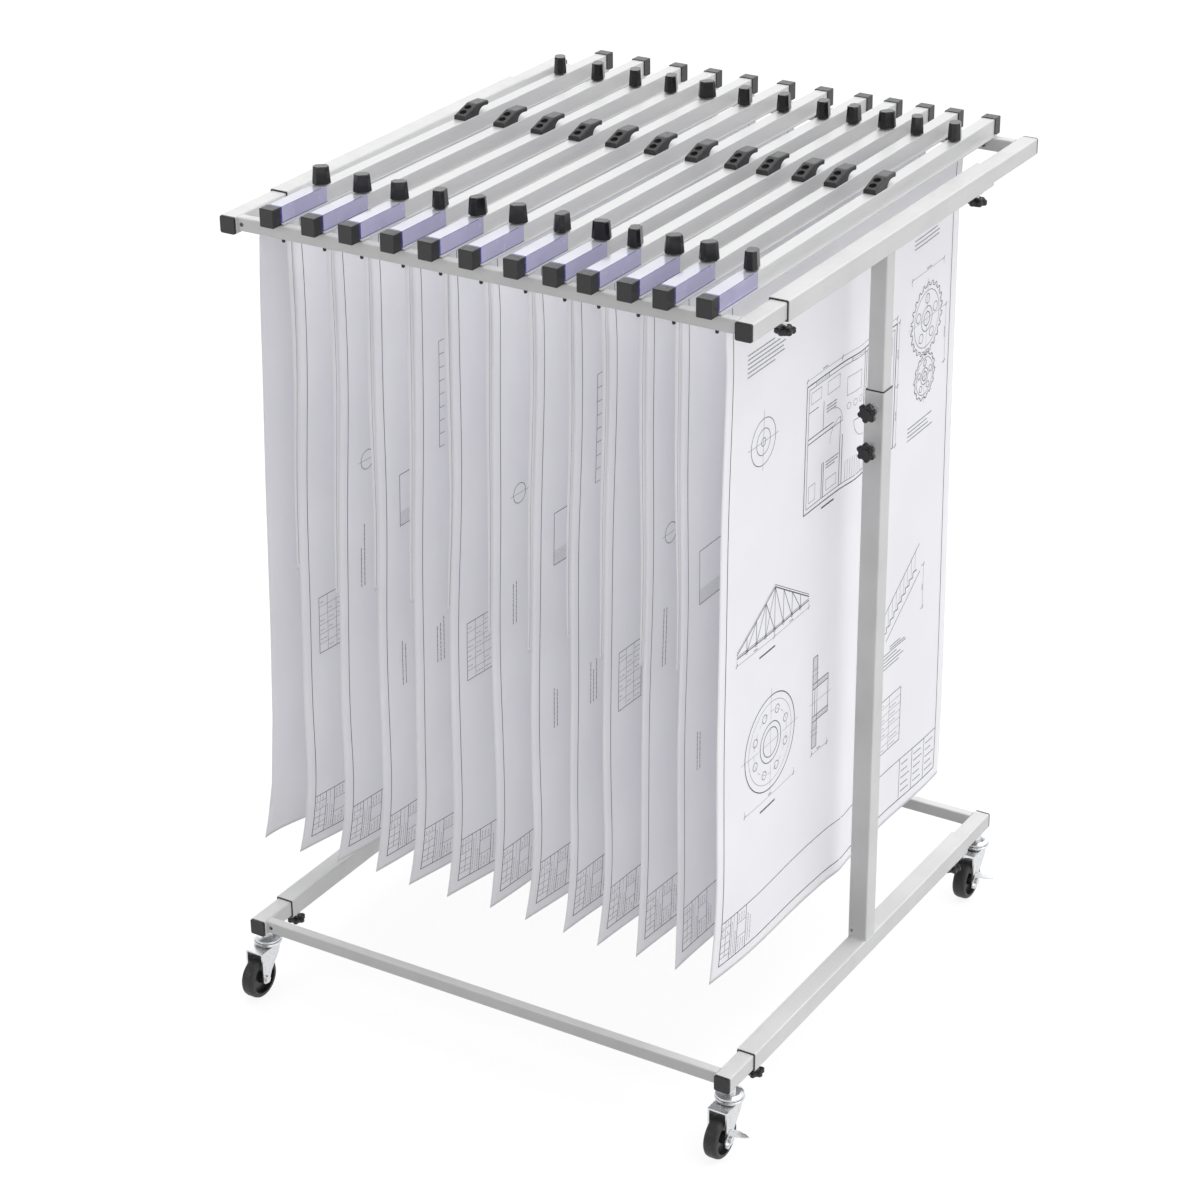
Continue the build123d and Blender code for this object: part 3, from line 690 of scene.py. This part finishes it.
def title_block(k, seed):
    """Border line and a plain title strip along the bottom, boxes and greeked notes only."""
    W, L = k.s.w, k.s.l
    e = 20.0
    top = L - 13.0
    k.line([(e, top), (e, e), (W - e, e), (W - e, top)], 1.3)
    k.line([(e, 92), (W - e, 92)], 1.1)
    rnd = random.Random(seed)
    for a in (44, 62, 86):
        k.line([(a, e), (a, 92)], 0.9)
    for b in (32, 41, 53, 66, 80):
        k.line([(e, b), (44, b)], 0.6)
    k.line([(32, 32), (32, 66)], 0.6)
    for b in (47, 71):
        k.line([(62, b), (86, b)], 0.6)
    k.line([(53, e), (53, 92)], 0.5, 1)
    k.words(24, 68, 9, 3, 6.5, seed + 2, 0.8, True)
    k.words(24, 82, 7, 3, 6.5, seed + 1, 0.8, True)
    k.words(48, 26, 56, 1, 6.0, seed + 3, 0.9, True)
    k.words(57.5, 24, 50, 1, 6.0, seed + 7, 0.9, True)
    k.words(67, 24, 20, 3, 6.4, seed + 4, 0.8, True)
    k.words(67, 74, 14, 3, 6.4, seed + 5, 0.8, True)
    k.words(92, 28, 50, 2, 6.5, seed + 6, 0.9, True)
    for j in range(3):
        a = W - e - 120 + 40 * j
        k.line([(a, e), (a, 92)], 0.9)
        k.words(a + 6, 80, 26, 5, 12, seed + 10 + j)


def floor_plan(k, a, b, s, seed):
    """Generic floor plan of a small building: rooms, door swings, windows and dimensions."""
    L_ = lambda p, w=1.2, soft=0: k.line([(a + s * x, b + s * y) for x, y in p], w, soft)
    L_([(0, 0), (100, 0), (100, 70), (0, 70), (0, 0)], 1.5)
    L_([(2.5, 2.5), (97.5, 2.5), (97.5, 67.5), (2.5, 67.5), (2.5, 2.5)], 0.8)
    L_([(38, 2.5), (38, 30)]); L_([(40.5, 2.5), (40.5, 30)])
    L_([(2.5, 38), (30, 38)]); L_([(2.5, 40.5), (30, 40.5)])
    L_([(62, 67.5), (62, 34), (97.5, 34)]); L_([(64.5, 67.5), (64.5, 36.5), (97.5, 36.5)])
    for cx, cy, r, d0 in ((38, 30, 11, 90), (30, 38, 10, 0), (62, 34, 11, 180), (72, 0, 10, 90)):
        k.arc(a + s * cx, b + s * cy, s * r, d0, d0 + 90, 0.7, 1)
        k.line([(a + s * cx, b + s * cy), (a + s * (cx + r * math.cos(math.radians(d0))), b + s * (cy + r * math.sin(math.radians(d0))))], 0.8)
    for x0 in (10, 48, 80):
        L_([(x0, 70), (x0, 67.5)], 0.8); L_([(x0 + 14, 70), (x0 + 14, 67.5)], 0.8); L_([(x0, 68.7), (x0 + 14, 68.7)], 0.6, 1)
    L_([(19, 2.5), (19, 22)]); L_([(20.8, 2.5), (20.8, 22)])
    L_([(19, 40.5), (19, 56)], 0.9); L_([(2.5, 55), (13, 55)], 0.9)
    for x0, y0, x1, y1 in ((5, 5, 12, 14), (24, 5, 35, 11), (5, 59, 16, 65), (23, 58, 36, 65), (44, 50, 58, 60), (68, 42, 80, 48), (84, 54, 95, 64), (70, 8, 92, 20)):
        L_([(x0, y0), (x1, y0), (x1, y1), (x0, y1), (x0, y0)], 0.7, 1)
    for cx, cy in ((46, 44), (52, 44), (58, 44), (74, 26), (81, 26), (88, 26)):
        k.arc(a + s * cx, b + s * cy, s * 1.8, w=0.6, soft=1, n=10)
    for q in range(8):
        L_([(44 + 2.2 * q, 3), (44 + 2.2 * q, 14)], 0.6, 1)
    k.dim(a, b + 70 * s, a + 38 * s, b + 70 * s, 9, seed)
    k.dim(a + 38 * s, b + 70 * s, a + 100 * s, b + 70 * s, 9, seed + 1)
    k.dim(a + 100 * s, b, a + 100 * s, b + 34 * s, 9, seed + 2)
    k.dim(a + 100 * s, b + 34 * s, a + 100 * s, b + 70 * s, 9, seed + 3)
    k.words(a + 23.5 * s, b + 21 * s, 12 * s, 3, 4.5, seed + 4)
    k.words(a + 72 * s, b + 52 * s, 18 * s, 2, 4.5, seed + 5)
    k.words(a + 22.5 * s, b + 52 * s, 12 * s, 3, 4.5, seed + 6)
    k.words(a + 20 * s, b - 9, 50, 1, 4.5, seed + 7, 2.2, soft=0)


def flange(k, a, b, r, seed):
    """Generic machine drawing: a bolted flange in face view and hatched section."""
    k.arc(a, b, r, w=1.3, n=48)
    k.arc(a, b, 0.86 * r, w=0.6, soft=1, n=44)
    k.arc(a, b, 0.42 * r, w=1.1, n=32)
    k.arc(a, b, 0.30 * r, w=1.1, n=28)
    for q in range(8):
        t = math.radians(45 * q + 22.5)
        k.arc(a + 0.66 * r * math.cos(t), b + 0.66 * r * math.sin(t), 0.085 * r, w=0.8, n=14)
    for q in range(18):
        t0 = 20 * q
        k.arc(a, b, 0.66 * r, t0, t0 + 12, 0.5, 1, 3)
    for d in ((1, 0), (0, 1)):
        for s0, s1 in ((-1.15, -0.5), (-0.44, -0.38), (-0.32, 0.32), (0.38, 0.44), (0.5, 1.15)):
            k.line([(a + d[0] * s0 * r, b + d[1] * s0 * r), (a + d[0] * s1 * r, b + d[1] * s1 * r)], 0.5, 1)
    x = a + 1.75 * r
    for y0, y1, w_ in ((0.42, 1.0, 0.18), (0.30, 0.42, 0.62)):
        for sg in (-1, 1):
            p0, p1 = sorted((b + sg * y0 * r, b + sg * y1 * r))
            k.rect(x, p0, x + w_ * r, p1, 1.0)
            k.hatch(x, p0, x + w_ * r, p1, 4.5)
    for q in (0.0, 0.09, 0.62):
        k.line([(x + q * r, b - 0.3 * r), (x + q * r, b + 0.3 * r)], 0.9)
    k.line([(x + 0.18 * r, b - r), (x + 0.18 * r, b + r)], 0.7)
    for sg in (-1, 1):
        for q in (0.60, 0.72):
            k.line([(x - 3, b + sg * q * r), (x + 0.18 * r + 3, b + sg * q * r)], 0.6, 1)
    k.line([(x - 8, b), (x + 0.75 * r, b)], 0.5, 1)
    k.dim(x, b - r, x + 0.62 * r, b - r, -10, seed)
    k.dim(a - r, b - r, a + r, b - r, -12, seed + 1)
    k.words(a - 0.4 * r, b - r - 26, 46, 1, 4, seed + 2, 2.2, soft=0)


def truss(k, a, b, w, h, seed):
    """Generic roof truss elevation with node marks and dimensions."""
    n = 8
    lo = [(a + w * q / n, b) for q in range(n + 1)]
    hi = [(a + w * q / n, b + h * (1 - abs(2 * q / n - 1)) + 6) for q in range(n + 1)]
    k.line(lo, 1.3); k.line([(p, q + 3) for p, q in lo], 0.7)
    k.line(hi, 1.3); k.line([(p, q + 3.5) for p, q in hi], 0.7)
    for q in range(1, n):
        k.line([lo[q], hi[q]], 0.9)
        k.line([lo[q], hi[q + 1] if q < n / 2 else hi[q - 1]], 0.9)
        k.arc(lo[q][0], lo[q][1], 3.2, w=0.7, n=10)
    k.dim(a, b, a + w / 2, b, -11, seed)
    k.dim(a + w / 2, b, a + w, b, -11, seed + 1)
    k.words(a + 0.3 * w, b - 26, 52, 1, 4, seed + 2, 2.2, soft=0)


def stair(k, a, b, s, seed):
    """Generic stair section with ground hatching."""
    p = [(a, b)]
    for q in range(9):
        p += [(a + q * 9 * s, b + (q + 1) * 6 * s), (a + (q + 1) * 9 * s, b + (q + 1) * 6 * s)]
    k.line(p, 1.3)
    k.line([(a + 9 * s, b - 5 * s), (a + 90 * s, b + 49 * s)], 1.0)
    k.line([(a + 4 * s, b + 30 * s), (a + 86 * s, b + 84 * s)], 1.0)
    for q in range(9):
        x = a + (q + 0.5) * 9 * s
        k.line([(x, b + (q + 1) * 6 * s), (x, b + (q + 1) * 6 * s + 26 * s)], 0.6, 1)
    k.rect(a - 26 * s, b - 12 * s, a + 4 * s, b, 1.0)
    k.hatch(a - 26 * s, b - 12 * s, a + 4 * s, b, 5)
    k.dim(a + 90 * s, b, a + 90 * s, b + 54 * s, 12, seed)
    k.words(a + 20 * s, b - 16 * s, 48, 2, 4.5, seed + 1)


def gear(k, a, b, r, n, turn=0.0):
    """Generic spur gear in face view: teeth, pitch circle, web holes and bore."""
    pts = []
    for q in range(n):
        for t, rr in ((0.0, 0.9), (0.2, 0.9), (0.32, 1.0), (0.58, 1.0), (0.7, 0.9)):
            g = 2 * math.pi * (q + t + turn) / n
            pts.append((a + r * rr * math.cos(g), b + r * rr * math.sin(g)))
    k.line(pts + pts[:1], 1.0)
    for q in range(24):
        k.arc(a, b, 0.95 * r, 15 * q, 15 * q + 9, 0.5, 1, 2)
    k.arc(a, b, 0.78 * r, w=0.7, n=36)
    k.arc(a, b, 0.34 * r, w=0.9, n=24)
    k.arc(a, b, 0.19 * r, w=1.0, n=20)
    for q in range(5):
        g = math.radians(72 * q + 18)
        k.arc(a + 0.56 * r * math.cos(g), b + 0.56 * r * math.sin(g), 0.13 * r, w=0.8, n=14)
    for d in ((1, 0), (0, 1)):
        k.line([(a - 1.12 * r * d[0], b - 1.12 * r * d[1]), (a + 1.12 * r * d[0], b + 1.12 * r * d[1])], 0.5, 1)


def schedule(k, a, b, w, h, rows, cols, seed):
    """Plain table with greeked entries."""
    k.rect(a, b, a + w, b + h, 1.0)
    for r in range(1, rows):
        k.line([(a, b + h * r / rows), (a + w, b + h * r / rows)], 0.6, 1)
    for c in range(1, cols):
        k.line([(a + w * c / cols, b), (a + w * c / cols, b + h)], 0.7, 1)
    for r in range(rows):
        for c in range(cols):
            if (3 * r + 5 * c + seed) % 4:
                k.words(a + w * c / cols + 2.5, b + h * (r + 0.42) / rows, 0.55 * w / cols, 1, 4, seed + 31 * r + c, 0.9)


for i in range(12):
    n = "%02d" % (i + 1)
    s = Sheet(i, "main")
    o = s.build("plan_sheet_main_" + n, 96 if i == 11 else 64, 96)
    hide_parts("plan_sheet_" + n)
    k = Ink(s)
    title_block(k, 1000 * i)
    rnd = random.Random(500 + i)
    if i == 11:
        floor_plan(k, 235, 640, 2.75, 11)
        flange(k, 150, 325, 74, 31)
        truss(k, 50, 500, 210, 60, 51)
        gear(k, 612, 806, 56, 22)
        gear(k, 612, 716, 37, 14, 0.45)
        k.dim(556, 870, 668, 870, 12, 151)
        k.dim(668, 716, 668, 806, 14, 153)
        k.words(560, 650, 100, 4, 6.4, 155)
        k.words(560, 940, 90, 3, 6.4, 157)
        stair(k, 500, 330, 1.35, 71)
        schedule(k, 420, 130, 150, 92, 7, 4, 91)
        k.words(470, 300, 120, 5, 6.0, 95)
        k.words(60, 940, 110, 6, 6.2, 97)
        k.arc(110, 800, 34, w=0.9, n=30)
        k.line([(110, 758), (110, 846)], 0.6, 1)
        k.line([(68, 800), (152, 800)], 0.6, 1)
        k.arc(110, 800, 19, w=0.8, n=24)
        k.arc(110, 800, 6, w=0.8, n=14)
    else:
        pick = (i * 5) % 4
        if pick == 0:
            schedule(k, 40, 330 + 20 * (i % 3), 58, 92, 6, 3, 700 + i)
        elif pick == 1:
            k.words(52, 420 + 30 * (i % 4), 96, 2, 7.5, 720 + i, 1.3, True, 0)
            k.arc(66, 650, 15, w=0.9, n=20)
            k.line([(44, 650), (120, 650)], 0.6, 1)
        elif pick == 2:
            k.rect(52, 560, 120, 640, 1.0)
            k.hatch(52, 560, 120, 582, 5)
            k.words(56, 300, 84, 2, 7.5, 740 + i, 1.3, True, 0)
        else:
            k.words(52, 360, 70, 3, 7.5, 760 + i, 1.2, True, 0)
            k.line([(58, 700), (58, 860)], 0.9)
            for q in range(9):
                k.line([(58, 700 + 20 * q), (70, 700 + 20 * q)], 0.7)
        if i % 3 == 0:
            truss(k, 160, 420, 420, 110, 800 + i)
            schedule(k, 200, 640, 260, 130, 8, 5, 820 + i)
        elif i % 3 == 1:
            flange(k, 260, 420, 90, 840 + i)
            stair(k, 220, 700, 1.6, 860 + i)
        else:
            floor_plan(k, 180, 560, 3.2, 880 + i)
            k.words(200, 420, 200, 6, 7.0, 890 + i)
    d = k.make("drawing_lines_" + n)
    if i < 11:
        s2 = Sheet(i, "short")
        o2 = s2.build("plan_sheet_short_" + n, 48, 60)
        k2 = Ink(s2)
        # soft line just short of the nearer sheet's front edge: painted shadow of that edge, drawn as ink; the next
        # line is the real border
        k2.line([(10.5, s2.l - 14), (6.0, 0.45 * s2.l), (4.2, 8)], 0.8, 1)
        k2.line([(SHEET_W - 20, s2.l - 14), (SHEET_W - 20, 20), (40, 20)], 1.1, 1)
        d2 = k2.make("drawing_border_and_edge_shadow_" + n)
    if i == 0:
        s3 = Sheet(0, "blank")
        o3 = s3.build("plan_sheet_blank_01", 64, 90)

# ---------------------------------------------------------------- floor, light, camera
me = bpy.data.meshes.new("floor")
me.from_pydata([(-14, -10, 0), (14, -10, 0), (14, 26, 0), (-14, 26, 0)], [], [(0, 1, 2, 3)])
floor = bpy.data.objects.new("floor", me)
bpy.context.scene.collection.objects.link(floor)
m, nt, b = new_mat("studio_floor")
b.inputs["Base Color"].default_value = (0.16, 0.16, 0.16, 1)
b.inputs["Roughness"].default_value = 0.9
b.inputs["Specular IOR Level"].default_value = 0.1
b.inputs["Emission Color"].default_value = (1, 1, 1, 1)
b.inputs["Emission Strength"].default_value = 0.86
me.materials.append(m)
floor.visible_diffuse = False

world = bpy.data.worlds.new("studio")
bpy.context.scene.world = world
world.use_nodes = True
wt = world.node_tree
bg = wt.nodes["Background"]
tc = wt.nodes.new("ShaderNodeTexCoord")
sep = wt.nodes.new("ShaderNodeSeparateXYZ")
wt.links.new(tc.outputs["Generated"], sep.inputs["Vector"])
mr = wt.nodes.new("ShaderNodeMapRange")
mr.interpolation_type = "SMOOTHSTEP"
for key, val in (("From Min", -0.45), ("From Max", 0.60), ("To Min", 0.08), ("To Max", 1.55)):
    mr.inputs[key].default_value = val
wt.links.new(sep.outputs["Y"], mr.inputs["Value"])
up = wt.nodes.new("ShaderNodeMapRange")
up.interpolation_type = "SMOOTHSTEP"
for key, val in (("From Min", -0.06), ("From Max", 0.06), ("To Min", 0.0), ("To Max", 1.0)):
    up.inputs[key].default_value = val
wt.links.new(sep.outputs["Z"], up.inputs["Value"])
sky = wt.nodes.new("ShaderNodeMix")
sky.data_type = "FLOAT"
sky.inputs["A"].default_value = 0.25
wt.links.new(up.outputs["Result"], sky.inputs["Factor"])
tilt = wt.nodes.new("ShaderNodeMapRange")
for key, val in (("From Min", 0.0), ("From Max", 1.0), ("To Min", 1.2), ("To Max", 0.75)):
    tilt.inputs[key].default_value = val
wt.links.new(sep.outputs["Z"], tilt.inputs["Value"])
mul = wt.nodes.new("ShaderNodeMath")
mul.operation = "MULTIPLY"
wt.links.new(mr.outputs["Result"], mul.inputs[0])
wt.links.new(tilt.outputs["Result"], mul.inputs[1])
wt.links.new(mul.outputs["Value"], sky.inputs["B"])
lp = wt.nodes.new("ShaderNodeLightPath")
mx = wt.nodes.new("ShaderNodeMix")
mx.data_type = "FLOAT"
wt.links.new(lp.outputs["Is Camera Ray"], mx.inputs["Factor"])
wt.links.new(sky.outputs["Result"], mx.inputs["A"])
mx.inputs["B"].default_value = 1.0
wt.links.new(mx.outputs["Result"], bg.inputs["Strength"])
bg.inputs["Color"].default_value = (0.985, 0.99, 1.0, 1)


def sun(name, toward, energy, angle, colour):
    d = bpy.data.lights.new(name, "SUN")
    d.energy, d.angle, d.color = energy, math.radians(angle), colour
    o = bpy.data.objects.new(name, d)
    bpy.context.scene.collection.objects.link(o)
    o.rotation_euler = Vector(toward).to_track_quat("-Z", "Y").to_euler()
    return d


sun("soft_overhead", (-0.20, -0.06, -0.97), 1.42, 55.0, (1.0, 0.995, 0.985))
sun("soft_side_fill", (-0.94, 0.20, -0.25), 0.86, 60.0, (0.985, 0.985, 1.0)).use_shadow = False


def panel(name, x, energy):
    d = bpy.data.lights.new(name, "AREA")
    d.shape, d.size, d.energy, d.color = "DISK", 2.2, energy, (0.985, 0.99, 1.0)
    o = bpy.data.objects.new(name, d)
    bpy.context.scene.collection.objects.link(o)
    o.location = (x, -2.62, 1.71)
    o.rotation_euler = (Vector((0.0, 0.0, 0.75)) - o.location).to_track_quat("-Z", "Y").to_euler()


panel("front_right_panel", 1.70, 16.0)
panel("front_left_panel", -1.70, 28.0)

cam_data = bpy.data.cameras.new("camera")
cam = bpy.data.objects.new("camera", cam_data)
bpy.context.scene.collection.objects.link(cam)
cam_data.sensor_fit = "HORIZONTAL"
cam_data.sensor_width = 36.0
cam_data.lens = 3140.0 * 36.0 / 1200.0
cam_data.clip_start, cam_data.clip_end = 0.1, 100.0
az, el, roll = math.radians(31.5412), math.radians(26.2532), math.radians(-0.5841)
fw = Vector((-math.sin(az) * math.cos(el), math.cos(az) * math.cos(el), -math.sin(el)))
r = fw.cross(Vector((0, 0, 1))).normalized()
u = r.cross(fw)
r2 = math.cos(roll) * r + math.sin(roll) * u
u2 = -math.sin(roll) * r + math.cos(roll) * u
rot = Matrix((r2, u2, -fw)).transposed().to_4x4()
cam.matrix_world = Matrix.Translation(Vector(pt(2173.26, -3622.47, 2675.70))) @ rot
bpy.context.scene.camera = cam
bpy.context.scene.view_settings.view_transform = "Standard"
